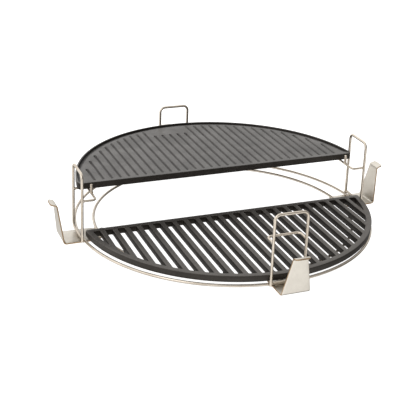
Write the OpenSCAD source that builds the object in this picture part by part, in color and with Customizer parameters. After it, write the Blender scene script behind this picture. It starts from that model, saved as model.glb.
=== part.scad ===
// Two-level rack insert for a round grill: a wire rack on four sheet hangers
// carries a raised half-round griddle at the back and a low half-round grate in front.
// +Z up, +Y to the griddle, -Y to the grate; the origin is on the floor under the centre.

/* [Rings] */
// diameter of the wire in the two rings and the four hoops
wire_d = 4; // [3:0.5:6]
// radius of the outer ring's wire centre
outer_ring_r = 221; // [180:1:260]
// radius of the inner ring's wire centre
inner_ring_r = 193.5; // [160:1:230]

/* [Hoops] */
// distance of each hoop's plane from the centre
hoop_r = 223.6; // [200:0.1:260]
// half the distance between the two legs, wire centre to wire centre
hoop_half = 23.8; // [15:0.1:40]
// height of the top bar's wire centre
hoop_top = 104.1; // [60:0.1:160]
// height of the bottom bar's wire centre
hoop_bottom = 7.2; // [6:0.1:20]
// bend radius of the hoop's rounded corners, at the wire centre
hoop_bend = 8; // [5:0.5:14]
// how far the hoops lean inwards, in degrees
hoop_lean = 0.6; // [0:0.1:4]

/* [Shelf loops] */
// diameter of the thinner wire in the four shelf loops
loop_d = 3.4; // [2:0.2:5]
// height of the loops' wire centre
loop_z = 65; // [40:0.1:90]
// distance of the loops' inner bar from the centre
loop_r = 203; // [180:0.5:220]
// bend radius of the loops' corners, at the wire centre
loop_bend = 6; // [4:0.5:12]
// diameter of the two upright stop pins
pin_d = 4; // [3:0.5:6]
// height of the top of the stop pins
pin_top = 79; // [60:0.5:100]

/* [Hangers] */
// thickness of the hanger sheet
sheet_t = 2; // [1:0.2:4]
// inner radius of the sheet's two bends
sheet_bend = 3; // [2:0.5:6]
// width of the flat foot under the rings
foot_w = 41; // [30:1:60]
// distance of the foot's inner end from the centre
foot_r = 191.5; // [180:0.5:200]
// distance of the upright's outer face from the centre, at its base
upright_r = 250; // [240:0.5:280]
// how far the upright leans outwards over its height
upright_lean = 6.6; // [0:0.2:20]
// height of the top of the lip above the floor, at the upright
lip_z = 58; // [40:0.2:80]
// width of the upright at its top
upright_top_w = 22; // [14:1:40]
// length of the lip that hangs on the grill's rim
lip_len = 9.5; // [6:0.5:20]
// how far the lip rises towards its end
lip_rise = 2.4; // [0:0.2:6]
// diameter of the round studs on the feet
stud_d = 6.5; // [4:0.5:10]
// distance of the studs from the centre
stud_r = 206; // [198:0.5:214]
// height of the top of the studs
stud_top = 7.4; // [4:0.1:9.5]

/* [Griddle] */
// radius of the griddle's arc
griddle_r = 220.7; // [180:0.1:221]
// distance of the straight face from the centre line
griddle_y = 11.7; // [3:0.1:20]
// how far the arc's centre lies in front of the centre line
griddle_back = 5.5; // [0:0.1:12]
// how far the loose griddle lies to the right of the centre
griddle_x = 0.3; // [-1:0.1:1]
// thickness from the underside to the cooking face
griddle_t = 9.9; // [8:0.1:20]
// how far the rim stands above the cooking face
griddle_rim = 0.8; // [0:0.1:6]
// width of the rim
griddle_rim_w = 3; // [2:0.5:15]
// spacing of the grooves
groove_pitch = 12.87; // [8:0.01:20]
// width of a groove at the cooking face
groove_w = 4.6; // [2:0.2:8]
// depth of a groove
groove_depth = 1.8; // [0.5:0.1:4]

/* [Grate] */
// radius of the grate's arc
grate_r = 219.8; // [180:0.1:221.5]
// distance of the straight edge from the centre line
grate_y = 16.6; // [10:0.1:30]
// how far the arc's centre lies in front of the centre line
grate_front = 1; // [0:0.1:2]
// how far the loose grate lies to the right of the centre
grate_x = 1.6; // [-2:0.1:2]
// height of the grate's top face
grate_top = 17.4; // [12:0.1:30]
// thickness of the bars and the rim
grate_t = 9.2; // [6:0.1:14]
// spacing of the bars
bar_pitch = 17.8; // [12:0.1:25]
// width of a slot between two bars
slot_w = 10.6; // [6:0.2:14]
// number of slots, an even number
slots = 24; // [12:2:28]
// width of the rim round the arc
grate_rim_w = 8.4; // [5:0.2:15]
// width of the border along the straight edge
grate_border_w = 8; // [5:0.5:15]

/* [Hidden] */
$fn = 48;
steel = [0.80, 0.77, 0.71];
plate = [0.74, 0.71, 0.66];
iron = [0.16, 0.14, 0.13];
dark = [0.25, 0.24, 0.23];
wire_r = wire_d / 2;
// depth that a welded wire sinks into what it is welded to
weld = 0.15;
// the rings lie on the hangers' feet
ring_z = sheet_t + wire_r - weld;
// the hoop's straight leg ends beside the outer ring
leg_end_z = ring_z - 1;
griddle_z = loop_z + loop_d / 2 + 0.2;
griddle_top = griddle_z + griddle_t;
grate_z = grate_top - grate_t;
// the grate's cast feet stand on the inner ring, one under each of these bars
foot_bars = [-10, -4, 4, 10];
foot_gap = 0.1;
// where each of the four sides lies, in degrees from +X
a_right = 0;
a_back = 90;
a_left = 180;
a_front = 270;

// points of an arc about the origin, from angle a to angle b
function arc(r, a, b, n) = [for (i = [0:n]) let (t = a + (b - a) * i / n) [r * cos(t), r * sin(t)]];

// the same arc about a centre
function arc_at(c, r, a, b, n) = [for (p = arc(r, a, b, n)) [c[0] + p[0], c[1] + p[1]]];

// outline of a half-round casting: an arc of radius r above the line y = y0,
// with the two corners rounded to radius k
function half_outline(r, y0, k) =
  let (cy = y0 + k, cx = sqrt((r - k) * (r - k) - cy * cy), a = atan2(cy, cx))
  concat(
    arc_at([cx, cy], k, -90, a, 8),
    arc(r, a, 180 - a, 96),
    arc_at([-cx, cy], k, 180 - a, 270, 8)
  );

// one straight length of wire along +Z
module wire(d, h) {
  cylinder(d = d, h = h);
}

// a quarter bend of wire in the XY plane about the origin, from +X to +Y
module quarter_bend(r, d) {
  rotate_extrude(angle = 90) translate([r, 0]) circle(d = d);
}

module ring(r) {
  translate([0, 0, ring_z]) rotate_extrude($fn = 180) translate([r, 0]) circle(d = wire_d, $fn = 32);
}

// a hoop in local axes: x outwards, y along the bars, z up;
// one bottom corner is bent and the other leg runs straight down to the ring
module hoop(side) {
  b = hoop_bend;
  w = hoop_half;
  translate([hoop_r, 0, ring_z]) rotate([0, -hoop_lean, 0]) translate([0, 0, -ring_z])
  mirror([0, side, 0]) union() {
    // straight leg, down to the outer ring
    translate([0, -w, leg_end_z]) wire(wire_d, hoop_top - b - leg_end_z);
    // bent leg
    translate([0, w, hoop_bottom + b]) wire(wire_d, hoop_top - hoop_bottom - 2 * b);
    // top and bottom bars
    translate([0, w - b, hoop_top]) rotate([90, 0, 0]) wire(wire_d, 2 * (w - b));
    translate([0, w - b, hoop_bottom]) rotate([90, 0, 0]) wire(wire_d, 2 * w - b);
    // corners
    translate([0, w - b, hoop_top - b]) rotate([0, 0, 90]) rotate([90, 0, 0]) quarter_bend(b, wire_d);
    translate([0, b - w, hoop_top - b]) rotate([0, 0, -90]) rotate([90, 0, 0]) quarter_bend(b, wire_d);
    translate([0, w - b, hoop_bottom + b]) mirror([0, 0, 1])
      rotate([0, 0, 90]) rotate([90, 0, 0]) quarter_bend(b, wire_d);
  }
}

// a shelf loop in local axes: a U of wire from one leg of the hoop, inwards, to the other
module shelf_loop() {
  b = loop_bend;
  w = hoop_half;
  // the side bars' ends sink into the hoop's legs
  x1 = hoop_r - (loop_z - ring_z) * tan(hoop_lean) - wire_r + 0.6;
  s = x1 - loop_r - b;
  translate([0, 0, loop_z]) union() {
    for (k = [-1, 1]) translate([x1, k * w, 0]) rotate([0, -90, 0]) wire(loop_d, s);
    translate([loop_r, b - w, 0]) rotate([-90, 0, 0]) wire(loop_d, 2 * (w - b));
    translate([loop_r + b, w - b, 0]) rotate([0, 0, 90]) quarter_bend(b, loop_d);
    translate([loop_r + b, b - w, 0]) rotate([0, 0, 180]) quarter_bend(b, loop_d);
  }
}

// an upright stop pin on a shelf loop's inner bar, with a bevelled top
module stop_pin() {
  z0 = loop_z + loop_d / 2 - 0.5;
  translate([loop_r, 0, z0]) cylinder(d = pin_d, h = pin_top - z0 - 1);
  translate([loop_r, 0, pin_top - 1]) cylinder(d1 = pin_d, d2 = pin_d - 2, h = 1);
}

// a hanger in local axes: x outwards, y along the rings, z up;
// its bent side profile, cut to its front outline and to its plan outline
module hanger() {
  h = lip_z + 20;
  color(plate) intersection() {
    translate([0, foot_w, 0]) rotate([90, 0, 0]) linear_extrude(2 * foot_w) hanger_profile();
    translate([foot_r - 1, 0, 0]) rotate([90, 0, 90]) linear_extrude(120) hanger_front_outline();
    translate([0, 0, -1]) linear_extrude(h) hanger_plan_outline();
  }
}

// side view: foot, lower bend, leaning upright, upper bend and lip, of even thickness
module hanger_profile() {
  t = sheet_t;
  r = sheet_bend;
  n = lip_len - r;
  rise = atan(lip_rise / lip_len);
  lean = atan(upright_lean / (lip_z - t - r));
  // centres of the two bends
  c1 = [upright_r - t - r, t + r];
  run = (lip_z - 2 * t - 2 * r) / cos(lean) + (2 * r + t) * tan(lean);
  c2 = [c1[0] + (2 * r + t) * cos(lean) + run * sin(lean), c1[1] - (2 * r + t) * sin(lean) + run * cos(lean)];
  end = [cos(rise) * n, sin(rise) * n];
  up = [-sin(rise), cos(rise)];
  polygon(concat(
    [[foot_r, 0]],
    arc_at(c1, r + t, -90, -lean, 8),
    arc_at(c2, r, 180 - lean, 90 + rise, 8),
    [c2 + r * up + end, c2 + (r + t) * up + end],
    arc_at(c2, r + t, 90 + rise, 180 - lean, 8),
    arc_at(c1, r, -lean, -90, 8),
    [[foot_r, t]]
  ));
}

// front view: the foot's width, then the taper to the lip's width
module hanger_front_outline() {
  w = foot_w / 2;
  wt = upright_top_w / 2;
  z0 = sheet_t + sheet_bend;
  z1 = lip_z - sheet_t - sheet_bend;
  polygon([[-w, -1], [w, -1], [w, z0], [wt, z1], [wt, lip_z + 10], [-wt, lip_z + 10], [-wt, z1], [-w, z0]]);
}

// plan view: two cut corners at the foot's inner end, two round corners at the lip's end
module hanger_plan_outline() {
  w = foot_w / 2;
  wt = upright_top_w / 2 + 0.5;
  k = 4;
  // where the lip begins and ends
  x0 = upright_r + upright_lean + 1;
  x1 = upright_r + upright_lean + lip_len + 0.3;
  polygon(concat(
    [[foot_r, w - 8], [foot_r, 8 - w], [foot_r + 8, -w], [x0, -w], [x0, -wt]],
    arc_at([x1 - k, k - wt + 0.5], k, -90, 0, 8),
    arc_at([x1 - k, wt - k - 0.5], k, 0, 90, 8),
    [[x0, wt], [x0, w], [foot_r + 8, w]]
  ));
}

// a round stud with a bevelled head, standing on a hanger's foot
module stud() {
  h = stud_top - sheet_t;
  translate([stud_r, 0, sheet_t]) cylinder(d = stud_d, h = h - 1.2);
  translate([stud_r, 0, sheet_t + h - 1.2]) cylinder(d1 = stud_d, d2 = stud_d - 2.4, h = 1.2);
}

// the griddle about its arc's centre; the straight face lies at y = f
module griddle() {
  f = griddle_y + griddle_back;
  r = griddle_r - griddle_rim_w;
  color(iron) translate([griddle_x, -griddle_back, 0]) difference() {
    translate([0, 0, griddle_z]) linear_extrude(griddle_t + griddle_rim)
      polygon(half_outline(griddle_r, f, 3));
    // the cooking face, open at the straight face and inside the rim
    translate([0, 0, griddle_top]) linear_extrude(griddle_rim + 1)
      polygon(arc(r, 4, 176, 96));
    for (i = [-15:15]) griddle_groove(i * groove_pitch, f);
  }
}

// one V groove along Y; left of the back's middle it stops short and leaves a plain pad
module griddle_groove(x, f) {
  r = griddle_r - griddle_rim_w - 15;
  y0 = f + 7;
  y1 = abs(x + 2 * groove_pitch) < 32 ? 176 : sqrt(r * r - x * x);
  translate([x, y0, griddle_top]) rotate([-90, 0, 0]) linear_extrude(y1 - y0)
    polygon([[-groove_w / 2, -0.01], [groove_w / 2, -0.01], [0.5, groove_depth], [-0.5, groove_depth]]);
}

// the grate about its arc's centre, then moved to where it lies
module grate() {
  color(dark) translate([grate_x, -grate_front, 0]) union() {
    translate([0, 0, grate_z]) linear_extrude(grate_t) difference() {
      mirror([0, 1]) polygon(half_outline(grate_r, grate_y - grate_front, 3));
      for (i = [0:slots - 1]) grate_slot((i - (slots - 1) / 2) * bar_pitch);
    }
    // cast feet under four bars, which stand on the inner ring
    for (i = foot_bars) grate_foot(i * bar_pitch);
  }
}

// one cast foot under a bar, over the inner ring's top
module grate_foot(x) {
  z0 = ring_z + wire_r + foot_gap;
  u = x + grate_x;
  translate([x, grate_front - sqrt(inner_ring_r * inner_ring_r - u * u), z0])
    cylinder(d = 6.8, h = grate_z - z0 + 1);
}

// one slot, from the border to the rim
module grate_slot(x) {
  r = grate_r - grate_rim_w;
  y0 = -(grate_y - grate_front + grate_border_w);
  a = x - slot_w / 2;
  b = min(x + slot_w / 2, sqrt(r * r - y0 * y0) - 0.5);
  c = max(a, -sqrt(r * r - y0 * y0) + 0.5);
  m = (b + c) / 2;
  polygon([[c, y0], [c, -sqrt(r * r - c * c)], [m, -sqrt(r * r - m * m)], [b, -sqrt(r * r - b * b)],
    [b, y0]]);
}

color(steel) ring(outer_ring_r);  // outer_ring
color(steel) ring(inner_ring_r);  // inner_ring
color(steel) rotate(a_left) hoop(1);  // hoop_left
color(steel) rotate(a_right) hoop(1);  // hoop_right
color(steel) rotate(a_front) hoop(0);  // hoop_front
color(steel) rotate(a_back) hoop(1);  // hoop_back
color(steel) rotate(a_left) shelf_loop();  // shelf_loop_left
color(steel) rotate(a_right) shelf_loop();  // shelf_loop_right
color(steel) rotate(a_front) shelf_loop();  // shelf_loop_front
color(steel) rotate(a_back) shelf_loop();  // shelf_loop_back
color(steel) rotate(a_left) stop_pin();  // stop_pin_left
color(steel) rotate(a_right) stop_pin();  // stop_pin_right
rotate(a_left) hanger();  // hanger_left
rotate(a_right) hanger();  // hanger_right
rotate(a_front) hanger();  // hanger_front
rotate(a_back) hanger();  // hanger_back
color(steel) rotate(a_left) stud();  // stud_left
color(steel) rotate(a_right) stud();  // stud_right
color(steel) rotate(a_front) stud();  // stud_front
color(steel) rotate(a_back) stud();  // stud_back
griddle();
grate();
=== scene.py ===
"""The two-level grill rack with its griddle and grate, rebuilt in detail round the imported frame."""
import math

import bmesh
import bpy
import numpy as np
from mathutils import Matrix, Vector, geometry, noise


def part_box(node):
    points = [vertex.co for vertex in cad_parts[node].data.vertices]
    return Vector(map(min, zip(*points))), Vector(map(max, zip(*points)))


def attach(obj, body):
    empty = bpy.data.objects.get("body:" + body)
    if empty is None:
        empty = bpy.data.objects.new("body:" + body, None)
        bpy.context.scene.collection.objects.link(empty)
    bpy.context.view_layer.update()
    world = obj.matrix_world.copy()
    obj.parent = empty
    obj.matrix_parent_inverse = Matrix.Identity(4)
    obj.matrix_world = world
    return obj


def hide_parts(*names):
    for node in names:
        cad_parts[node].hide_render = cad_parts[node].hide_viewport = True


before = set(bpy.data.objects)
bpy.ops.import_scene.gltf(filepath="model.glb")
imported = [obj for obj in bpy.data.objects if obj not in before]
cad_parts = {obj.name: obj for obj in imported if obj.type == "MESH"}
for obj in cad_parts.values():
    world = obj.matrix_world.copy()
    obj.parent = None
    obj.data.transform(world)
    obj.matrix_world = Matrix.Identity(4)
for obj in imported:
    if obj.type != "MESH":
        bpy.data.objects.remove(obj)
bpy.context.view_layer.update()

MM = 0.001


# ---------------------------------------------------------------- sizes, from the frame

def size(node):
    """Lowest and highest corner of a node, in millimetres."""
    low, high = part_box(node)
    return np.array(low) / MM, np.array(high) / MM


ring_low, ring_high = size("outer_ring")
WIRE = (ring_high[2] - ring_low[2]) / 2
RING_Z = (ring_high[2] + ring_low[2]) / 2
OUTER_R = ring_high[0] - WIRE
INNER_R = size("inner_ring")[1][0] - WIRE

hoop_low, hoop_high = size("hoop_right")
HOOP_HALF = (hoop_high[1] - hoop_low[1]) / 2 - WIRE
HOOP_TOP = hoop_high[2] - WIRE
HOOP_BEND = 8.0
# the bottom bar's wire centre stands this far above the rings'
HOOP_BOTTOM = RING_Z + 3.35
LEG_END = hoop_low[2]
HOOP_X0 = hoop_high[0] - WIRE
HOOP_X1 = hoop_low[0] + WIRE

loop_low, loop_high = size("shelf_loop_right")
LOOP = (loop_high[2] - loop_low[2]) / 2
LOOP_Z = (loop_high[2] + loop_low[2]) / 2
LOOP_R = loop_low[0] + LOOP
LOOP_BEND = 6.0
PIN_TOP = size("stop_pin_right")[1][2]

hanger_low, hanger_high = size("hanger_right")
SHEET = 2.0
BEND = 3.0
FOOT_R = hanger_low[0]
FOOT_HALF = (hanger_high[1] - hanger_low[1]) / 2
LIP_HALF = 11.0
LIP_LEN = 9.5
LIP_RISE = 2.4
LEAN = 6.6
UPRIGHT_R = 250.0
# the lip slopes up by this much from its bend to its end
LIP_Z = hanger_high[2] - 1.44
STUD_R = (size("stud_right")[0][0] + size("stud_right")[1][0]) / 2
STUD_HALF = (size("stud_right")[1][0] - size("stud_right")[0][0]) / 2
STUD_TOP = size("stud_right")[1][2]

SIDES = {"right": 0, "back": 90, "left": 180, "front": 270}
MIRRORED = {"right": -1, "back": -1, "left": -1, "front": 1}


# ---------------------------------------------------------------- mesh code

class Mesh:
    """Collects vertices, faces, face-corner UVs and material numbers of one piece."""

    def __init__(self):
        self.verts, self.faces, self.uvs, self.slots = [], [], [], []

    def add(self, verts, faces, uvs=None, slot=0):
        base = len(self.verts)
        self.verts.extend(tuple(float(c) for c in v) for v in verts)
        for i, face in enumerate(faces):
            self.faces.append([base + int(k) for k in face])
            self.uvs.append(uvs[i] if uvs else [(verts[k][0] * 0.01, verts[k][1] * 0.01) for k in face])
            self.slots.append(slot if isinstance(slot, int) else slot[i])

    def build(self, name, materials, body, slot, nodes=(), angle=None, weld=1e-7,
              rotate=0.0, mirror=1, shift=(0, 0)):
        """Makes the object from millimetres, mirrors, turns and shifts it, and hangs it on its body."""
        mesh = bpy.data.meshes.new(name)
        turn = Matrix.Rotation(math.radians(rotate), 4, "Z") @ Matrix.Diagonal((1, mirror, 1, 1))
        turn = Matrix.Translation((shift[0] * MM, shift[1] * MM, 0)) @ turn
        mesh.from_pydata([tuple(turn @ (Vector(v) * MM)) for v in self.verts], [], self.faces)
        layer = mesh.uv_layers.new(name="UVMap")
        flat = [c for face in self.uvs for uv in face for c in uv]
        layer.data.foreach_set("uv", np.array(flat, np.float32))
        mesh.polygons.foreach_set("material_index", np.array(self.slots, np.int32))
        bm = bmesh.new()
        bm.from_mesh(mesh)
        bmesh.ops.remove_doubles(bm, verts=bm.verts, dist=weld)
        bmesh.ops.dissolve_degenerate(bm, edges=bm.edges, dist=weld)
        bmesh.ops.recalc_face_normals(bm, faces=bm.faces)
        bm.to_mesh(mesh)
        bm.free()
        mesh.polygons.foreach_set("use_smooth", np.ones(len(mesh.polygons), bool))
        if angle:
            mesh.set_sharp_from_angle(angle=math.radians(angle))
        for material in materials:
            mesh.materials.append(material)
        piece = bpy.data.objects.new(name, mesh)
        bpy.context.scene.collection.objects.link(piece)
        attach(piece, body)
        if nodes:
            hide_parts(*nodes)
        return piece


def arc_points(centre, radius, a, b, n, plane="xz", other=0.0):
    """Points of an arc in a plane, angles in degrees."""
    out = []
    for i in range(n + 1):
        t = math.radians(a + (b - a) * i / n)
        u, v = centre[0] + radius * math.cos(t), centre[1] + radius * math.sin(t)
        out.append({"xz": (u, other, v), "yz": (other, u, v), "xy": (u, v, other)}[plane])
    return out


def tube(path, radius, sides=18, closed=False, bevel=(0.5, 0.5)):
    """A round wire along a path, with bevelled ends. UV: once round, and along in centimetres."""
    p = np.array(path, float)
    n = len(p)
    nxt = np.roll(p, -1, 0) if closed else np.vstack([p[1:], 2 * p[-1] - p[-2]])
    prv = np.roll(p, 1, 0) if closed else np.vstack([2 * p[0] - p[1], p[:-1]])
    tangent = nxt - prv
    tangent /= np.linalg.norm(tangent, axis=1)[:, None]
    ref = np.array([0, 0, 1.0]) if abs(tangent[0][2]) < 0.9 else np.array([1.0, 0, 0])
    normal = np.cross(np.cross(tangent[0], ref), tangent[0])
    normals = []
    for t in tangent:
        normal = normal - t * (normal @ t)
        normal /= np.linalg.norm(normal)
        normals.append(normal.copy())
    along = np.concatenate([[0], np.cumsum(np.linalg.norm(np.diff(p, axis=0), axis=1))]) / 10
    rings = []
    for i in range(n):
        rings.append((p[i], tangent[i], normals[i], radius, along[i]))
    if not closed:
        for end, sign in ((0, -1), (n - 1, 1)):
            b = bevel[0] if end == 0 else bevel[1]
            extra = []
            for a in (25, 50, 72, 86):
                s, c = math.sin(math.radians(a)), math.cos(math.radians(a))
                r = radius - b * (1 - c) if b < radius else radius * c
                spot = p[end] + sign * tangent[end] * (b * s - b)
                extra.append((spot, tangent[end], normals[end], r, along[end]))
            first = (p[end] - sign * tangent[end] * b, tangent[end], normals[end], radius, along[end])
            if end == 0:
                rings[0] = first
                rings = extra[::-1] + rings
            else:
                rings[-1] = first
                rings = rings + extra
    verts, faces, uvs = [], [], []
    for c, t, nn, r, _ in rings:
        bi = np.cross(t, nn)
        for k in range(sides):
            a = 2 * math.pi * k / sides
            verts.append(c + r * (math.cos(a) * nn + math.sin(a) * bi))
    m = len(rings)
    total = along[-1] + np.linalg.norm(p[0] - p[-1]) / 10
    for i in range(m if closed else m - 1):
        j = (i + 1) % m
        v0, v1 = rings[i][4], (rings[j][4] if j > i else total)
        for k in range(sides):
            l = (k + 1) % sides
            faces.append([i * sides + k, i * sides + l, j * sides + l, j * sides + k])
            u0, u1 = k / sides, (k + 1) / sides
            uvs.append([(u0, v0), (u1, v0), (u1, v1), (u0, v1)])
    if not closed:
        for row in (0, m - 1):
            face = [row * sides + k for k in range(sides)]
            faces.append(face)
            uvs.append([(k / sides, rings[row][4]) for k in range(sides)])
    return verts, faces, uvs


def bead(centre, radii, seed, turn=0.0, rough=0.16):
    """A lumpy weld bead: a small ellipsoid with a wavy, uneven skin."""
    bm = bmesh.new()
    bmesh.ops.create_icosphere(bm, subdivisions=3, radius=1.0)
    rot = Matrix.Rotation(math.radians(turn), 3, "Z")
    verts = []
    for v in bm.verts:
        d = v.co.normalized()
        lump = 1 + rough * noise.noise(d * 1.7 + Vector((seed * 3.1, seed * 1.7, 0)))
        lump += 0.05 * math.sin(9 * d.x + seed) * (1 - abs(d.z))
        p = Vector((d.x * radii[0], d.y * radii[1], d.z * radii[2])) * lump
        verts.append(Vector(centre) + rot @ p)
    faces = [[v.index for v in f.verts] for f in bm.faces]
    bm.free()
    return verts, faces


def lathe(profile, centre, steps=40):
    """A turned piece: profile is (radius, z) from the bottom up to the middle of the top."""
    verts, faces = [], []
    for r, z in profile:
        for k in range(steps):
            a = 2 * math.pi * k / steps
            verts.append((centre[0] + r * math.cos(a), centre[1] + r * math.sin(a), z))
    for i in range(len(profile) - 1):
        for k in range(steps):
            l = (k + 1) % steps
            faces.append([i * steps + k, i * steps + l, (i + 1) * steps + l, (i + 1) * steps + k])
    faces.append([k for k in range(steps)][::-1])
    faces.append([(len(profile) - 1) * steps + k for k in range(steps)])
    return verts, faces


# ---------------------------------------------------------------- materials

def new_material(name):
    material = bpy.data.materials.new(name)
    material.use_nodes = True
    tree = material.node_tree
    shader = tree.nodes["Principled BSDF"]
    return material, tree, shader


def node(tree, kind, **settings):
    made = tree.nodes.new(kind)
    for key, value in settings.items():
        if key in made.inputs:
            made.inputs[key].default_value = value
        else:
            setattr(made, key, value)
    return made


def coordinates(tree, output, scale):
    """Texture coordinates, scaled along each axis."""
    source = node(tree, "ShaderNodeTexCoord")
    mapping = node(tree, "ShaderNodeMapping", Scale=scale)
    tree.links.new(source.outputs[output], mapping.inputs["Vector"])
    return mapping.outputs["Vector"]


def noise_of(tree, vector, scale, detail=4.0, rough=0.55):
    made = node(tree, "ShaderNodeTexNoise", Scale=scale, Detail=detail, Roughness=rough)
    tree.links.new(vector, made.inputs["Vector"])
    return made.outputs["Fac"]


def spread(tree, value, low, high, to_low=0.0, to_high=1.0):
    made = node(tree, "ShaderNodeMapRange",
                **{"From Min": low, "From Max": high, "To Min": to_low, "To Max": to_high})
    tree.links.new(value, made.inputs["Value"])
    return made.outputs["Result"]


def colours(tree, value, stops):
    """A colour ramp: stops are (position, (r, g, b))."""
    ramp = node(tree, "ShaderNodeValToRGB")
    elements = ramp.color_ramp.elements
    while len(elements) < len(stops):
        elements.new(0.5)
    for element, (position, colour) in zip(elements, stops):
        element.position = position
        element.color = (*colour, 1)
    tree.links.new(value, ramp.inputs["Fac"])
    return ramp.outputs["Color"]


def blended(tree, a, b, factor):
    """Two values mixed: factor is the share of b."""
    made = node(tree, "ShaderNodeMix", data_type="FLOAT")
    made.inputs["Factor"].default_value = factor
    tree.links.new(a, made.inputs["A"])
    tree.links.new(b, made.inputs["B"])
    return made.outputs["Result"]


def bumped(tree, shader, layers):
    """Bump nodes in a row: layers are (height output, strength, distance in metres)."""
    last = None
    for height, strength, distance in layers:
        bump = node(tree, "ShaderNodeBump", Strength=strength, Distance=distance)
        tree.links.new(height, bump.inputs["Height"])
        if last:
            tree.links.new(last, bump.inputs["Normal"])
        last = bump.outputs["Normal"]
    tree.links.new(last, shader.inputs["Normal"])


def wire_material(name="wire_steel", light=(0.66, 0.60, 0.52), dull=(0.46, 0.40, 0.33)):
    """Drawn stainless wire: streaks along its length, with a few duller patches."""
    material, tree, shader = new_material(name)
    uv = coordinates(tree, "UV", (7, 0.35, 1))
    solid = coordinates(tree, "Object", (1, 1, 1))
    streak = noise_of(tree, uv, 6, 5)
    patch = noise_of(tree, solid, 38, 3)
    both = blended(tree, streak, patch, 0.45)
    tree.links.new(colours(tree, both, [(0.34, dull), (0.62, light)]), shader.inputs["Base Color"])
    tree.links.new(spread(tree, both, 0.3, 0.7, 0.38, 0.22), shader.inputs["Roughness"])
    shader.inputs["Metallic"].default_value = 1.0
    bumped(tree, shader, [(streak, 0.12, 0.00008), (noise_of(tree, solid, 900, 2), 0.06, 0.00005)])
    return material


def sheet_material():
    """Satin stainless sheet: fine brushing along the strip and faint handling marks."""
    material, tree, shader = new_material("sheet_steel")
    uv = coordinates(tree, "UV", (90, 2.2, 1))
    broad = coordinates(tree, "Object", (1, 1, 1))
    brush = noise_of(tree, uv, 5, 6, 0.6)
    cloud = noise_of(tree, broad, 26, 3)
    both = blended(tree, brush, cloud, 0.5)
    tree.links.new(colours(tree, both, [(0.3, (0.52, 0.49, 0.44)), (0.68, (0.68, 0.65, 0.59))]),
                   shader.inputs["Base Color"])
    tree.links.new(spread(tree, both, 0.3, 0.7, 0.46, 0.34), shader.inputs["Roughness"])
    shader.inputs["Metallic"].default_value = 1.0
    bumped(tree, shader, [(brush, 0.10, 0.00006)])
    return material


def cut_edge_material():
    """The sheet's sheared edge: darker and browner, with short marks across it."""
    material, tree, shader = new_material("sheet_edge")
    solid = coordinates(tree, "Object", (1, 1, 1))
    marks = noise_of(tree, solid, 420, 3)
    tint = noise_of(tree, solid, 60, 2)
    tree.links.new(colours(tree, tint, [(0.35, (0.28, 0.19, 0.11)), (0.65, (0.44, 0.33, 0.22))]),
                   shader.inputs["Base Color"])
    tree.links.new(spread(tree, marks, 0.3, 0.7, 0.55, 0.4), shader.inputs["Roughness"])
    shader.inputs["Metallic"].default_value = 0.9
    bumped(tree, shader, [(marks, 0.25, 0.0001)])
    return material


def weld_material():
    """Weld metal: rippled, straw-coloured to brown from the heat."""
    material, tree, shader = new_material("weld_metal")
    solid = coordinates(tree, "Object", (1, 1, 1))
    tint = noise_of(tree, solid, 210, 3)
    ripple = noise_of(tree, solid, 950, 3)
    stops = [(0.3, (0.26, 0.20, 0.14)), (0.5, (0.50, 0.44, 0.36)), (0.7, (0.70, 0.66, 0.60))]
    tree.links.new(colours(tree, tint, stops), shader.inputs["Base Color"])
    tree.links.new(spread(tree, ripple, 0.3, 0.7, 0.3, 0.5), shader.inputs["Roughness"])
    shader.inputs["Metallic"].default_value = 1.0
    bumped(tree, shader, [(ripple, 0.5, 0.00025)])
    return material


def iron_material(name, dark, light, rough, shine, tint=(1.0, 0.985, 0.97)):
    """Seasoned cast iron: sandy grain, dull and oily patches."""
    material, tree, shader = new_material(name)
    solid = coordinates(tree, "Object", (1, 1, 1))
    grain = noise_of(tree, solid, 1500, 3, 0.6)
    pebble = noise_of(tree, solid, 420, 4, 0.6)
    patch = noise_of(tree, solid, 30, 5, 0.6)
    tone = blended(tree, patch, pebble, 0.4)
    tree.links.new(colours(tree, tone, [(0.38, dark), (0.62, light)]), shader.inputs["Base Color"])
    mixed = blended(tree, patch, grain, 0.35)
    tree.links.new(spread(tree, mixed, 0.3, 0.7, rough + 0.07, rough - 0.07),
                   shader.inputs["Roughness"])
    shader.inputs["Specular IOR Level"].default_value = shine
    shader.inputs["Specular Tint"].default_value = (*tint, 1)
    bumped(tree, shader, [(pebble, 0.22, 0.0003), (grain, 0.25, 0.00015)])
    return material


steel = wire_material()
rod = wire_material("stud_steel", (0.88, 0.86, 0.82), (0.72, 0.69, 0.64))
sheet = sheet_material()
edge = cut_edge_material()
weld = weld_material()
# the castings: their walls and the dip in the griddle's field beside the rim get darker copies of the
# iron than the tops, as painted shade; beside the rim it also paints the rim wall's shadow and
# reflection
griddle_iron = iron_material("griddle_iron", (0.024, 0.0225, 0.0215), (0.060, 0.0565, 0.054),
                             0.47, 0.95)
# painted shade: the darkest griddle iron, for the straight front face and the rim's inner wall
griddle_iron_shaded = iron_material("griddle_iron_shaded", (0.006, 0.0051, 0.0044), (0.017, 0.0148, 0.0130),
                             0.55, 0.35, (1.0, 0.92, 0.84))
# painted shade: a less dark griddle iron, for the outer wall round the arc
griddle_iron_half_shaded = iron_material("griddle_iron_half_shaded", (0.018, 0.0168, 0.0158), (0.046, 0.0430, 0.0405),
                             0.50, 0.85)
# painted shadow and reflection: dark griddle iron for the field beside the rim wall
griddle_rim_shade = iron_material("griddle_rim_shade", (0.007, 0.0065, 0.0062), (0.018, 0.0168, 0.016),
                               0.5, 0.38)
grate_iron = iron_material("grate_iron", (0.010, 0.0088, 0.0078), (0.028, 0.0250, 0.0222),
                           0.46, 0.95, (1.0, 0.94, 0.88))
# painted shade: a dark grate iron, for the outer wall
grate_iron_half_shaded = iron_material("grate_iron_half_shaded", (0.007, 0.0061, 0.0053), (0.019, 0.0166, 0.0145),
                           0.52, 0.42, (1.0, 0.93, 0.86))
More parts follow.
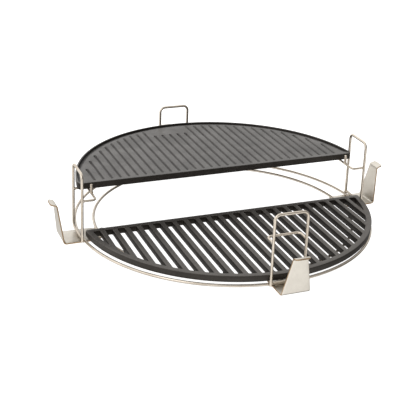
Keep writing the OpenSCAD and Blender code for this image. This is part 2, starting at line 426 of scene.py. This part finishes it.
# painted shade: the darkest grate iron, for the slots' walls and the gate stub
grate_iron_shaded = iron_material("grate_iron_shaded", (0.003, 0.0024, 0.0019), (0.010, 0.0082, 0.0066),
                           0.55, 0.18, (1.0, 0.90, 0.80))


# ---------------------------------------------------------------- rings, hoops, loops, pins

def make_ring(node_name, radius, start):
    m = Mesh()
    turns = [math.radians(start + a) for a in np.arange(0, 360, 1.5)]
    path = [(radius * math.cos(t), radius * math.sin(t), RING_Z) for t in turns]
    m.add(*tube(path, WIRE, 16, closed=True))
    # the butt weld that closes the ring
    c = path[0]
    m.add(*bead(c, (WIRE * 1.12, 2.6, WIRE * 1.1), radius * 0.1, start), slot=1)
    m.build(node_name + "_wire", [steel, weld], "rack", "wire_steel", [node_name])


def leaned(y, z):
    """A point of the hoop's plane, which leans inwards towards its top."""
    t = (z - HOOP_BOTTOM) / (HOOP_TOP - HOOP_BOTTOM)
    return (HOOP_X0 + (HOOP_X1 - HOOP_X0) * t, y, z)


def hoop_path():
    """One wire: up the straight leg, over the top, down the bent leg and back along the bottom."""
    w, b = HOOP_HALF, HOOP_BEND
    p = [(-w, LEG_END), (-w, 12), (-w, 30), (-w, 60), (-w, 85)]
    p += [(y, z) for _, y, z in arc_points((b - w, HOOP_TOP - b), b, 180, 90, 10, "yz")]
    p += [(-6, HOOP_TOP), (6, HOOP_TOP)]
    p += [(y, z) for _, y, z in arc_points((w - b, HOOP_TOP - b), b, 90, 0, 10, "yz")]
    p += [(w, 85), (w, 60), (w, 30)]
    p += [(y, z) for _, y, z in arc_points((w - b, HOOP_BOTTOM + b), b, 0, -90, 10, "yz")]
    p += [(5, HOOP_BOTTOM), (-8, HOOP_BOTTOM), (-w + 1.2, HOOP_BOTTOM)]
    return [leaned(y, z) for y, z in p]


def loop_path():
    w, b = HOOP_HALF, LOOP_BEND
    x1 = loop_high[0] - 0.3
    p = [(x1, -w, LOOP_Z), (x1 - 4, -w, LOOP_Z)]
    p += arc_points((LOOP_R + b, b - w), b, -90, -180, 10, "xy", LOOP_Z)
    p += [(LOOP_R, -8, LOOP_Z), (LOOP_R, 8, LOOP_Z)]
    p += arc_points((LOOP_R + b, w - b), b, 180, 90, 10, "xy", LOOP_Z)
    p += [(x1 - 4, w, LOOP_Z), (x1, w, LOOP_Z)]
    return p


def make_side(side):
    turn, flip = SIDES[side], MIRRORED[side]
    place = {"rotate": turn, "mirror": flip}
    m = Mesh()
    m.add(*tube(hoop_path(), WIRE, 20, bevel=(0.45, 0.45)))
    m.build("hoop_wire_" + side, [steel], "rack", "wire_steel", ["hoop_" + side], **place)

    m = Mesh()
    m.add(*tube(loop_path(), LOOP, 18, bevel=(0.3, 0.3)))
    m.build("shelf_wire_" + side, [steel], "rack", "wire_steel", ["shelf_loop_" + side], **place)

    # weld beads of this side
    m = Mesh()
    seed = turn * 0.11 + 1.3
    w = HOOP_HALF
    leg = leaned(-w, HOOP_BOTTOM)
    m.add(*bead((leg[0], -w + 1.6, HOOP_BOTTOM), (2.3, 2.0, 2.35), seed))
    m.add(*bead((leg[0] - 1.2, -w, RING_Z + 0.2), (2.4, 2.7, 2.2), seed + 1))
    for y, k in ((-8, 2), (9, 3)):
        x = (leg[0] + math.sqrt(OUTER_R ** 2 - y * y)) / 2
        m.add(*bead((x, y, (HOOP_BOTTOM + RING_Z) / 2), (1.5, 3.4, 1.5), seed + k))
    for y in (-w, w):
        x = leaned(y, LOOP_Z)[0] - WIRE
        m.add(*bead((x - 0.1, y, LOOP_Z), (1.5, 2.2, 2.3), seed + 4 + y))
    for radius in (OUTER_R, INNER_R):
        for y in (-15, 15):
            x = math.sqrt(radius ** 2 - y * y)
            for s in (-1, 1):
                spot = (x + s * 1.75, y + 0.8 * s, SHEET + 0.35)
                m.add(*bead(spot, (1.15, 3.0, 0.95), seed + radius + y + s))
    m.build("welds_" + side, [weld], "rack", "wire_steel", **place)

    # stud, turned, with a domed head
    m = Mesh()
    r, top = STUD_HALF, STUD_TOP
    profile = [(r + 0.5, SHEET - 0.4), (r + 0.45, SHEET + 0.2), (r + 0.1, SHEET + 0.5),
               (r, SHEET + 0.9), (r, top - 1.6)]
    for a in (0.35, 0.7, 1.05, 1.35):
        profile.append((r - 1.5 + 1.5 * math.cos(a), top - 1.6 + 1.4 * math.sin(a)))
    profile += [(1.2, top - 0.08), (0.5, top)]
    m.add(*lathe(profile, (STUD_R, 0)))
    m.build("stud_turned_" + side, [rod], "rack", "stud_steel", ["stud_" + side], angle=50, **place)

    make_hanger(side, place)


def make_pin(side):
    m = Mesh()
    z0 = LOOP_Z + LOOP - 0.9
    radius = (size("stop_pin_right")[1][0] - size("stop_pin_right")[0][0]) / 2
    path = [(LOOP_R, 0, z0), (LOOP_R, 0, z0 + 3), (LOOP_R, 0, z0 + 7), (LOOP_R, 0, PIN_TOP)]
    m.add(*tube(path, radius, 20, bevel=(0.2, 1.5)))
    m.add(*bead((LOOP_R, 0, LOOP_Z + LOOP * 0.75), (2.5, 3.1, 1.4), SIDES[side] + 0.4), slot=1)
    m.build("pin_" + side, [steel, weld], "rack", "wire_steel", ["stop_pin_" + side],
            rotate=SIDES[side])


# ---------------------------------------------------------------- sheet hangers

def hanger_line():
    """Middle line of the bent sheet: (x, z, direction angle, half width) from the foot to the lip."""
    t, r = SHEET, BEND
    n = LIP_LEN - r
    rise = math.atan(LIP_RISE / LIP_LEN)
    lean = math.atan(LEAN / (LIP_Z - t - r))
    c1 = np.array([UPRIGHT_R - t - r, t + r])
    run = (LIP_Z - 2 * t - 2 * r) / math.cos(lean) + (2 * r + t) * math.tan(lean)
    c2 = (c1 + (2 * r + t) * np.array([math.cos(lean), -math.sin(lean)])
          + run * np.array([math.sin(lean), math.cos(lean)]))
    z0, z1 = t + r, LIP_Z - t - r
    out = []

    def width(z):
        f = min(max((z - z0) / (z1 - z0), 0), 1)
        return FOOT_HALF + (LIP_HALF - FOOT_HALF) * f

    for s in (0, 0.4, 2, 4, 6, 8, 8.6, 12, 20, 30, 42):
        if FOOT_R + s < c1[0]:
            out.append((FOOT_R + s, t / 2, 0.0, min(FOOT_HALF, FOOT_HALF - 8 + s)))
    for i in range(9):
        a = math.radians(-90) + (math.radians(90) - lean) * i / 8
        p = c1 + (r + t / 2) * np.array([math.cos(a), math.sin(a)])
        out.append((p[0], p[1], a + math.pi / 2, width(p[1])))
    start = np.array(out[-1][:2])
    a1 = math.pi - lean
    end = c2 + (r + t / 2) * np.array([math.cos(a1), math.sin(a1)])
    for f in (0.03, 0.15, 0.3, 0.45, 0.6, 0.75, 0.9, 0.97):
        p = start + (end - start) * f
        out.append((p[0], p[1], math.pi / 2 - lean, width(p[1])))
    for i in range(9):
        a = a1 + (math.pi / 2 + rise - a1) * i / 8
        p = c2 + (r + t / 2) * np.array([math.cos(a), math.sin(a)])
        out.append((p[0], p[1], a - math.pi / 2, width(p[1])))
    k = 4.0
    last = np.array(out[-1][:2])
    for s in (0.2, 1.2, n - k, n - k * 0.66, n - k * 0.4, n - k * 0.2, n - k * 0.08, n):
        p = last + s * np.array([math.cos(rise), math.sin(rise)])
        d = max(0.0, s - (n - k))
        out.append((p[0], p[1], rise, LIP_HALF - k + math.sqrt(max(k * k - d * d, 0))))
    return out


def make_hanger(side, place):
    m = Mesh()
    t = SHEET / 2
    e = 0.32
    stations = hanger_line()
    cols = 8
    rows, marks = [], []
    travelled = 0.0
    for i, (x, z, a, w) in enumerate(stations):
        if i:
            travelled += math.hypot(x - stations[i - 1][0], z - stations[i - 1][1])
        section = [(w * (2 * c / cols - 1) * (w - e) / w, t) for c in range(cols + 1)]
        section += [(w - e * 0.3, t - e * 0.3), (w, t - e), (w, e - t), (w - e * 0.3, e * 0.3 - t)]
        section += [(-w * (2 * c / cols - 1) * (w - e) / w, -t) for c in range(cols + 1)]
        section += [(e * 0.3 - w, e * 0.3 - t), (-w, e - t), (-w, t - e), (e * 0.3 - w, t - e * 0.3)]
        nx, nz = -math.sin(a), math.cos(a)
        rows.append([(x + nx * h, y, z + nz * h) for y, h in section])
        marks.append((travelled, section))
    # thin the two ends a little, so that their edges are rounded too
    def end_row(i, sign):
        x, z, a, w = stations[i]
        dx, dz = math.cos(a), math.sin(a)
        nx, nz = -dz, dx
        return [(x + sign * dx * e + nx * h * 0.68, y * 0.985, z + sign * dz * e + nz * h * 0.68)
                for y, h in marks[i][1]]
    rows = [end_row(0, -1)] + rows + [end_row(-1, 1)]
    marks = [marks[0]] + marks + [marks[-1]]
    n = len(rows[0])
    verts = [p for row in rows for p in row]
    faces, uvs, slots = [], [], []
    for i in range(len(rows) - 1):
        for k in range(n):
            l = (k + 1) % n
            faces.append([i * n + k, i * n + l, (i + 1) * n + l, (i + 1) * n + k])
            s0, s1 = marks[i][0] / 100, marks[i + 1][0] / 100
            y0, y1 = marks[i][1][k][0] / 100, marks[i][1][l][0] / 100
            uvs.append([(y0, s0), (y1, s0), (y1, s1), (y0, s1)])
            flat = k < cols or cols + 5 <= k <= 2 * cols + 4
            slots.append(0 if flat and 0 < i < len(rows) - 2 else 1)
    for row in (0, len(rows) - 1):
        faces.append([row * n + k for k in range(n)])
        uvs.append([(marks[row][1][k][0] / 100, marks[row][0] / 100) for k in range(n)])
        slots.append(1)
    m.add(verts, faces, uvs, slots)
    m.build("hanger_sheet_" + side, [sheet, edge], "rack", "sheet_steel", ["hanger_" + side],
            angle=38, **place)


# ---------------------------------------------------------------- griddle

g_low, g_high = size("griddle")
G_R = 220.7
G_CX = (g_low[0] + g_high[0]) / 2
G_FRONT = g_low[1]
G_CY = g_high[1] - G_R
G_BOTTOM, G_RIM = g_low[2], g_high[2]
# the cooking face lies this far below the rim
G_FIELD = G_RIM - 1.0
GROOVE_PITCH = 12.87
# grooves on each side of the middle one, and how far inside the rim they stop
SIDE_GROOVES, GROOVE_STOP = 15, 13
# the plain pad: its middle, its half width and where the grooves beside it stop
PAD_X, PAD_HALF, PAD_Y = -2 * GROOVE_PITCH, 32, 170.0


def make_griddle():
    # edge rounding, corner radius and rim width
    e, k, rim = 1.0, 3.0, 3.0
    ri = G_R - rim
    front = G_FRONT + e
    # centre of the rounded front corner
    ky = G_FRONT + k
    kx = math.sqrt((G_R - k) ** 2 - (ky - G_CY) ** 2)

    def y_front(x):
        d = abs(x) - kx
        return front if d <= 0 else ky - math.sqrt(max((k - e) ** 2 - d * d, 0))

    def y_wall(x):
        return G_CY + math.sqrt(max(ri * ri - x * x, 0))

    # where the rim's inner foot meets the rounded corner
    low, high = kx, kx + (k - e)
    for _ in range(60):
        mid = (low + high) / 2
        if mid < ri and y_wall(mid) > y_front(mid):
            low = mid
        else:
            high = mid
    x_end = low

    # half a groove's cross-section: distance from its middle and depth
    half = [(2.7, 0.0), (2.3, 0.15), (1.75, 1.3), (1.0, 3.0)]
    profile = [(-dx, depth) for dx, depth in half] + [(0.0, 3.4)] + half[::-1]
    last = GROOVE_PITCH * SIDE_GROOVES + half[0][0]
    columns = []
    for i in range(-SIDE_GROOVES, SIDE_GROOVES + 1):
        for dx, depth in profile:
            columns.append((i * GROOVE_PITCH + dx, depth, i))
        if i < SIDE_GROOVES:
            columns.append(((i + 0.5) * GROOVE_PITCH, 0.0, None))
    a0 = math.acos(last / ri)
    a1 = math.acos(x_end / ri)
    beyond = [ri * math.cos(a0 + (a1 - a0) * f) for f in np.linspace(0, 1, 24)[1:]]
    columns += [(x, 0.0, None) for x in beyond] + [(-x, 0.0, None) for x in beyond]
    columns.sort(key=lambda c: c[0])

    def groove_end(i):
        x = i * GROOVE_PITCH
        if abs(x - PAD_X) <= PAD_HALF:
            return PAD_Y
        return G_CY + math.sqrt((ri - GROOVE_STOP) ** 2 - x * x)

    def end_of(x):
        g = min(max(x / GROOVE_PITCH, -SIDE_GROOVES), SIDE_GROOVES)
        i = math.floor(g)
        f = min(max((g - i - 0.25) * 2, 0), 1)
        return groove_end(i) * (1 - f) + groove_end(min(i + 1, SIDE_GROOVES)) * f

    gutter_w, gutter_d = 12.0, 2.5

    def height(x, y, depth, i):
        z = G_FIELD
        rho = math.hypot(x, y - G_CY)
        d = ri - rho
        fade = min(1.0, max(0.0, (y - G_FRONT - 2) / 16))
        fade = fade * fade * (3 - 2 * fade)
        if d < gutter_w:
            u = 1 - max(d, 0) / gutter_w
            z -= gutter_d * u ** 1.6 * fade
        if depth:
            y0, y1 = G_FRONT + 7, groove_end(i)
            a = min(max((y - y0) / 3.0, 0), 1)
            b = min(max((y1 - y) / 3.0, 0), 1)
            z -= depth * math.sqrt(max(1 - (1 - a) ** 2, 0)) * math.sqrt(max(1 - (1 - b) ** 2, 0))
        return z

    # steps back from the front edge, close together where the grooves begin
    front_steps = [0, 2.5, 5.0, 6.1, 6.6, 7.2, 7.9, 8.7, 9.6, 12, 20]
    stations = []
    for x, depth, i in columns:
        yf, yw = y_front(x), y_wall(x)
        total = yw - yf
        ge = end_of(x)
        head = [yf + (mm if total > 45 else mm * total / 45) for mm in front_steps]
        e0 = min(max(ge - 3.4, head[-1] + total * 0.1), yw - total * 0.2)
        e1 = min(max(ge + 0.6, e0 + total * 0.02), yw - total * 0.1)
        middle = [head[-1] + (e0 - head[-1]) * f for f in (0.2, 0.4, 0.6, 0.8)]
        turn = [e0 + (e1 - e0) * f for f in (0, 0.2, 0.4, 0.55, 0.7, 0.8, 0.9, 1.0)]
        tail = [e1 + (yw - e1) * f for f in (0.12, 0.24, 0.36, 0.48, 0.6, 0.7, 0.8, 0.88, 0.95, 1.0)]
        stations.append([(x, y, height(x, y, depth, i)) for y in head + middle + turn + tail])
    m = Mesh()
    rows = len(stations[0])
    verts = [p for s in stations for p in s]
    faces = []
    for c in range(len(stations) - 1):
        for r in range(rows - 1):
            faces.append([c * rows + r, (c + 1) * rows + r, (c + 1) * rows + r + 1, c * rows + r + 1])
    # painted shadow and reflection: faces in a narrow band of the field beside the rim wall get the
    # dark iron (slot 1)
    rim_shade_faces = []
    for face in faces:
        x, y = np.mean([verts[k][:2] for k in face], axis=0)
        rho = math.hypot(x, y - G_CY)
        rim_shade_faces.append(1 if ri - rho < 2 + 5.5 * (y - G_CY) / rho and y > G_FRONT + 9 else 0)
    m.add(verts, faces, slot=rim_shade_faces)

    # the rim: from each column's inner foot, up its wall and over its rounded top
    def outline_at(x):
        """The edge-inset outline behind the column's foot, and its outward direction."""
        foot = np.array([x, y_wall(x) - G_CY])
        d = foot / np.linalg.norm(foot)
        reach = G_R - e
        centre = np.array([math.copysign(kx, x), ky - G_CY])
        tangent = math.atan2(centre[1], abs(centre[0]))
        if math.atan2(d[1], abs(d[0])) >= tangent:
            return d * reach + (0, G_CY), d
        b = d @ centre
        c = centre @ centre - (k - e) ** 2
        reach = b + math.sqrt(max(b * b - c, 0))
        p = d * reach
        n = (p - centre) / np.linalg.norm(p - centre)
        return p + (0, G_CY), n

    # (way across the rim, height reached) of its cross-section
    across = [(0.0, 0.0), (0.10, 0.10), (0.17, 0.3), (0.2, 0.6), (0.22, 0.82), (0.30, 0.93),
              (0.45, 0.985), (0.7, 1.0), (1.0, 1.0)]
    rim_rows, outs = [], []
    for s in stations:
        foot = np.array(s[-1])
        out, n = outline_at(foot[0])
        gap = np.linalg.norm(out - foot[:2])
        f = min(gap / 2.0, 1.0)
        top = G_FIELD + (G_RIM - G_FIELD) * f * f * (3 - 2 * f)
        row = []
        for u, g in across:
            p = foot[:2] + (out - foot[:2]) * u
            row.append((p[0], p[1], foot[2] + (top - foot[2]) * g))
        rim_rows.append(row)
        outs.append((out, n, top))
    n_across = len(across)
    verts = [p for row in rim_rows for p in row]
    faces = []
    for c in range(len(rim_rows) - 1):
        for r in range(n_across - 1):
            a, b = c * n_across + r, (c + 1) * n_across + r
            faces.append([a, b, b + 1, a + 1])
    # painted shade: the rim's inner wall, its first four rows of faces up from the foot, gets the
    # darkest iron (slot 2)
    m.add(verts, faces, slot=[2 if k % (n_across - 1) < 4 else 0 for k in range(len(faces))])

    # the outer wall, all the way round, with rounded edges
    loop = [(np.array(o), np.array(n), top) for o, n, top in outs]
    for s in stations[::-1][1:-1]:
        x, y = s[0][0], s[0][1]
        d = abs(x) - kx
        if d <= 0:
            n = np.array([0, -1.0])
        else:
            n = np.array([x, y]) - np.array([math.copysign(kx, x), ky])
            n = n / np.linalg.norm(n)
        loop.append((np.array([x, y]), n, s[0][2]))
    levels = [(0.0, 0.0)]
    levels += [(e * math.sin(a), e * (1 - math.cos(a))) for a in np.radians((22.5, 45, 67.5, 90))]
    wall_rows = []
    eb = 1.3
    for out, drop in levels:
        wall_rows.append([(*(p + n * out), top - drop) for p, n, top in loop])
    for out, z in ((e, G_BOTTOM + 5), (e, G_BOTTOM + eb), (e - eb * 0.13, G_BOTTOM + eb * 0.5),
                   (e - eb * 0.5, G_BOTTOM + eb * 0.13), (e - eb, G_BOTTOM)):
        wall_rows.append([(*(p + n * out), z) for p, n, top in loop])
    count = len(loop)
    verts = [p for row in wall_rows for p in row]
    faces = []
    for r in range(len(wall_rows) - 1):
        for c in range(count):
            d = (c + 1) % count
            faces.append([r * count + c, r * count + d, (r + 1) * count + d, (r + 1) * count + c])
    faces.append([(len(wall_rows) - 1) * count + c for c in range(count)])
    # painted shade: the straight face gets the darkest copy of the iron and is darker than the wall
    # round the arc, which gets a less dark copy
    walls = [2 if p[1] < G_FRONT + k else 3 for p, n, top in loop]
    m.add(verts, faces, slot=[0 if i < 2 * count else walls[i % count] for i in range(len(faces))])
    m.build("griddle_casting", [griddle_iron, griddle_rim_shade, griddle_iron_shaded, griddle_iron_half_shaded],
            "griddle", "griddle_iron", ["griddle"], weld=2e-6, angle=60, shift=(G_CX, 0))


# ---------------------------------------------------------------- grate

t_low, t_high = size("grate")
T_R = 219.8
T_THICK = 9.2
T_CX, T_CY = (t_low[0] + t_high[0]) / 2, t_low[1] + T_R
T_FRONT = T_CY - t_high[1]
T_TOP = t_high[2]
T_BOTTOM = T_TOP - T_THICK
BAR_PITCH, SLOT_W, SLOTS, T_RIM, T_BORDER = 17.8, 10.6, 24, 8.4, 8.0


def smooth_corner(points, corner, n=4):
    """Replaces the middle of three points by a short curve."""
    a, b, c = (np.array(p, float) for p in points)
    la, lc = np.linalg.norm(a - b), np.linalg.norm(c - b)
    ra, rc = min(corner, la * 0.45), min(corner, lc * 0.45)
    p0, p1 = b + (a - b) / la * ra, b + (c - b) / lc * rc
    return [tuple((1 - f) ** 2 * p0 + 2 * f * (1 - f) * b + f * f * p1)
            for f in np.linspace(0, 1, n + 1)]


def slot_outline(x, o):
    """Outline of one slot, made larger by o on every side."""
    r = T_R - T_RIM
    limit = math.sqrt(r * r - (T_FRONT + T_BORDER) ** 2) - 0.5
    a, b = max(x - SLOT_W / 2, -limit) - o, min(x + SLOT_W / 2, limit) + o
    r += o
    y0 = -(T_FRONT + T_BORDER) + o
    ya, yb = -math.sqrt(max(r * r - a * a, 1)), -math.sqrt(max(r * r - b * b, 1))
    ya, yb = min(ya, y0 - 0.6), min(yb, y0 - 0.6)
    xs = np.linspace(a, b, 7)[1:-1]
    bottom = [(q, min(-math.sqrt(r * r - q * q), y0 - 0.3)) for q in xs]
    corner = 1.6 + o
    pts = []
    pts += smooth_corner(((b, yb), (b, y0), (a, y0)), corner)
    pts += smooth_corner(((b, y0), (a, y0), (a, ya)), corner)
    pts += smooth_corner(((a, y0), (a, ya), bottom[0]), corner)
    pts += bottom[1:-1]
    pts += smooth_corner((bottom[-1], (b, yb), (b, y0)), corner)
    return pts


def grate_outline(o):
    """Outer outline of the grate, made smaller by o on every side."""
    r, y0, k = T_R - o, T_FRONT + o, 3.2
    cy = y0 + k
    cx = math.sqrt((r - k) ** 2 - cy * cy)
    a = math.degrees(math.atan2(cy, cx))
    pts = arc_points((cx, cy), k, -90, a, 6, "xy")
    pts += arc_points((0, 0), r, a, 180 - a, 150, "xy")[1:-1]
    pts += arc_points((-cx, cy), k, 180 - a, 270, 6, "xy")
    return [(x, -y) for x, y, _ in pts]


def make_grate():
    m = Mesh()
    # rounding of the top and of the bottom edges
    e, eb = 0.9, 0.7
    turns = np.radians((0, 30, 60, 90))
    levels = [(e * (1 - math.sin(a)), T_TOP - e * (1 - math.cos(a))) for a in turns]
    levels += [(-0.05, T_TOP - 3.5), (0.25, T_BOTTOM + eb), (0.25 + eb * 0.3, T_BOTTOM + eb * 0.3),
               (0.25 + eb, T_BOTTOM)]
    shapes = [grate_outline]
    for i in range(SLOTS):
        x = (i - (SLOTS - 1) / 2) * BAR_PITCH
        shapes.append(lambda o, x=x: slot_outline(x, o))
    caps = {0: [], len(levels) - 1: []}
    for number, shape in enumerate(shapes):
        # painted shade: the slots' walls get the darkest iron (slot 1), the outer wall a less dark one
        # (slot 2)
        wall = 1 if number else 2
        rows = [shape(o) for o, _ in levels]
        n = len(rows[0])
        verts = [(x, y, z) for row, (_, z) in zip(rows, levels) for x, y in row]
        faces = []
        for r in range(len(rows) - 1):
            for k in range(n):
                l = (k + 1) % n
                faces.append([r * n + k, r * n + l, (r + 1) * n + l, (r + 1) * n + k])
        m.add(verts, faces, slot=[0 if k < 2 * n else wall for k in range(len(faces))])
        for level in caps:
            caps[level].append(rows[level])
    for level, loops in caps.items():
        z = levels[level][1]
        pts, edges = [], []
        for ring in loops:
            base = len(pts)
            pts += [Vector(p) for p in ring]
            edges += [(base + k, base + (k + 1) % len(ring)) for k in range(len(ring))]
        holes = [np.array(ring) for ring in loops[1:]]
        out, _, tris, _, _, _ = geometry.delaunay_2d_cdt(pts, edges, [], 0, 1e-7)
        keep = []
        outer = np.array(loops[0])
        for tri in tris:
            c = sum((out[k] for k in tri), Vector((0, 0))) / len(tri)
            near = [h for h in holes if abs(c.x - h[:, 0].mean()) < 9]
            if inside(c, outer) and not any(inside(c, h) for h in near):
                keep.append(list(tri))
        m.add([(p.x, p.y, z) for p in out], keep)
    # cast feet on the inner ring
    foot_z = t_low[2]
    for i in (-10, -4, 4, 10):
        x = i * BAR_PITCH
        y = -math.sqrt(INNER_R ** 2 - (x + T_CX) ** 2) - T_CY
        profile = [(2.6, foot_z), (3.0, foot_z + 0.25), (3.25, foot_z + 1.2), (3.4, foot_z + 2.6),
                   (4.2, T_BOTTOM - 0.2), (4.4, T_BOTTOM + 0.4)]
        m.add(*lathe(profile, (x, y), 24))
    # the stub left by the mould's gate, on the straight edge, in the darkest iron copy as painted shade
    stub = (-195.6, -T_FRONT + 0.8, T_TOP - 2.9)
    m.add(*bead(stub, (5.5, 2.4, 2.7), 7.3, 3, 0.22), slot=1)
    m.build("grate_casting", [grate_iron, grate_iron_shaded, grate_iron_half_shaded], "grate", "grate_iron", ["grate"],
            weld=2e-6, angle=50, shift=(T_CX, T_CY))


def inside(p, ring):
    """Whether a point lies inside a closed outline."""
    x, y = ring[:, 0], ring[:, 1]
    x2, y2 = np.roll(x, -1), np.roll(y, -1)
    cross = (y > p.y) != (y2 > p.y)
    with np.errstate(divide="ignore", invalid="ignore"):
        at = (x2 - x) * (p.y - y) / (y2 - y) + x
    return bool(np.count_nonzero(cross & (p.x < at)) % 2)


# ---------------------------------------------------------------- camera, floor and light

CAMERA_ANGLES = (-22.555, 24.073, 2.333)
CAMERA_LENS = 85.75
# distance, aim height above the floor, and the sideways and upward offset, in metres
CAMERA_PLACE = (1.47524, 0.05, -0.023728, -0.031163)


def make_camera():
    """Looks from the left front: angles are azimuth, elevation and roll."""
    az, el, roll = (math.radians(a) for a in CAMERA_ANGLES)
    back = Vector((math.sin(az) * math.cos(el), -math.cos(az) * math.cos(el), math.sin(el)))
    right = Vector((math.cos(az), math.sin(az), 0))
    up = back.cross(right)
    r = math.cos(roll) * right + math.sin(roll) * up
    u = -math.sin(roll) * right + math.cos(roll) * up
    data = bpy.data.cameras.new("camera")
    data.sensor_width = 36
    data.lens = CAMERA_LENS
    data.clip_start, data.clip_end = 0.05, 50
    camera = bpy.data.objects.new("camera", data)
    distance, aim, sideways, upwards = CAMERA_PLACE
    place = back * distance + Vector((0, 0, aim)) + r * sideways + u * upwards
    turn = Matrix((r, u, back)).transposed().to_4x4()
    camera.matrix_world = Matrix.Translation(place) @ turn
    bpy.context.scene.collection.objects.link(camera)
    bpy.context.scene.camera = camera


def make_floor():
    """A plain white floor that glows like a light table and stays out of reflections."""
    m = bmesh.new()
    bmesh.ops.create_grid(m, x_segments=8, y_segments=8, size=6)
    mesh = bpy.data.meshes.new("floor")
    m.to_mesh(mesh)
    m.free()
    floor = bpy.data.objects.new("floor", mesh)
    bpy.context.scene.collection.objects.link(floor)
    material, tree, shader = new_material("floor_white")
    solid = coordinates(tree, "Object", (1, 1, 1))
    soft = noise_of(tree, solid, 3, 2)
    tree.links.new(colours(tree, soft, [(0.3, (0.50, 0.50, 0.50)), (0.7, (0.52, 0.52, 0.52))]),
                   shader.inputs["Base Color"])
    shader.inputs["Roughness"].default_value = 0.9
    shader.inputs["Specular IOR Level"].default_value = 0.0
    shader.inputs["Emission Color"].default_value = (1, 1, 1, 1)
    shader.inputs["Emission Strength"].default_value = 1.0
    mesh.materials.append(material)
    floor.visible_glossy = False
    floor.visible_diffuse = False


# soft panels: direction, cosine where each begins, cosine where it is full, and strength
PANELS = (((0.0, 0.90, 0.42), -0.1, 1.0, 1.15), ((-0.93, -0.25, -0.25), 0.15, 0.85, 1.1),
          ((0.3, -0.75, -0.59), 0.55, 0.95, 1.25), ((0, 0, 1), 0.2, 1.0, 0.45))
# light from every other direction
AMBIENT = 0.10


def make_world():
    """Soft studio light: bright panels at the back, left, low front and top, dim elsewhere."""
    world = bpy.data.worlds.new("studio")
    bpy.context.scene.world = world
    world.use_nodes = True
    tree = world.node_tree
    background = tree.nodes["Background"]
    source = node(tree, "ShaderNodeTexCoord")
    total = None
    for direction, low, high, strength in PANELS:
        d = Vector(direction).normalized()
        dot = node(tree, "ShaderNodeVectorMath", operation="DOT_PRODUCT")
        tree.links.new(source.outputs["Generated"], dot.inputs[0])
        dot.inputs[1].default_value = d
        part = spread(tree, dot.outputs["Value"], low, high, 0, strength)
        if total is None:
            total = part
        else:
            add = node(tree, "ShaderNodeMath", operation="ADD")
            tree.links.new(total, add.inputs[0])
            tree.links.new(part, add.inputs[1])
            total = add.outputs[0]
    add = node(tree, "ShaderNodeMath", operation="ADD")
    tree.links.new(total, add.inputs[0])
    add.inputs[1].default_value = AMBIENT
    tree.links.new(add.outputs[0], background.inputs["Strength"])
    background.inputs["Color"].default_value = (1.0, 0.985, 0.965, 1)


def area_light(name, place, target, width, height, power):
    data = bpy.data.lights.new(name, "AREA")
    data.shape = "RECTANGLE"
    data.size, data.size_y = width, height
    data.energy = power
    light = bpy.data.objects.new(name, data)
    light.location = place
    light.rotation_euler = (Vector(target) - Vector(place)).to_track_quat("-Z", "Y").to_euler()
    bpy.context.scene.collection.objects.link(light)


make_camera()
make_floor()
make_world()
area_light("key", (-1.6, -0.9, 1.5), (0, 0, 0.05), width=1.2, height=1.2, power=9)

for name, radius, start in (("outer_ring", OUTER_R, 118), ("inner_ring", INNER_R, 62)):
    make_ring(name, radius, start)
for side in SIDES:
    make_side(side)
for side in ("left", "right"):
    make_pin(side)
make_griddle()
make_grate()

bpy.context.scene.view_settings.view_transform = "Standard"

bpy.context.view_layer.update()
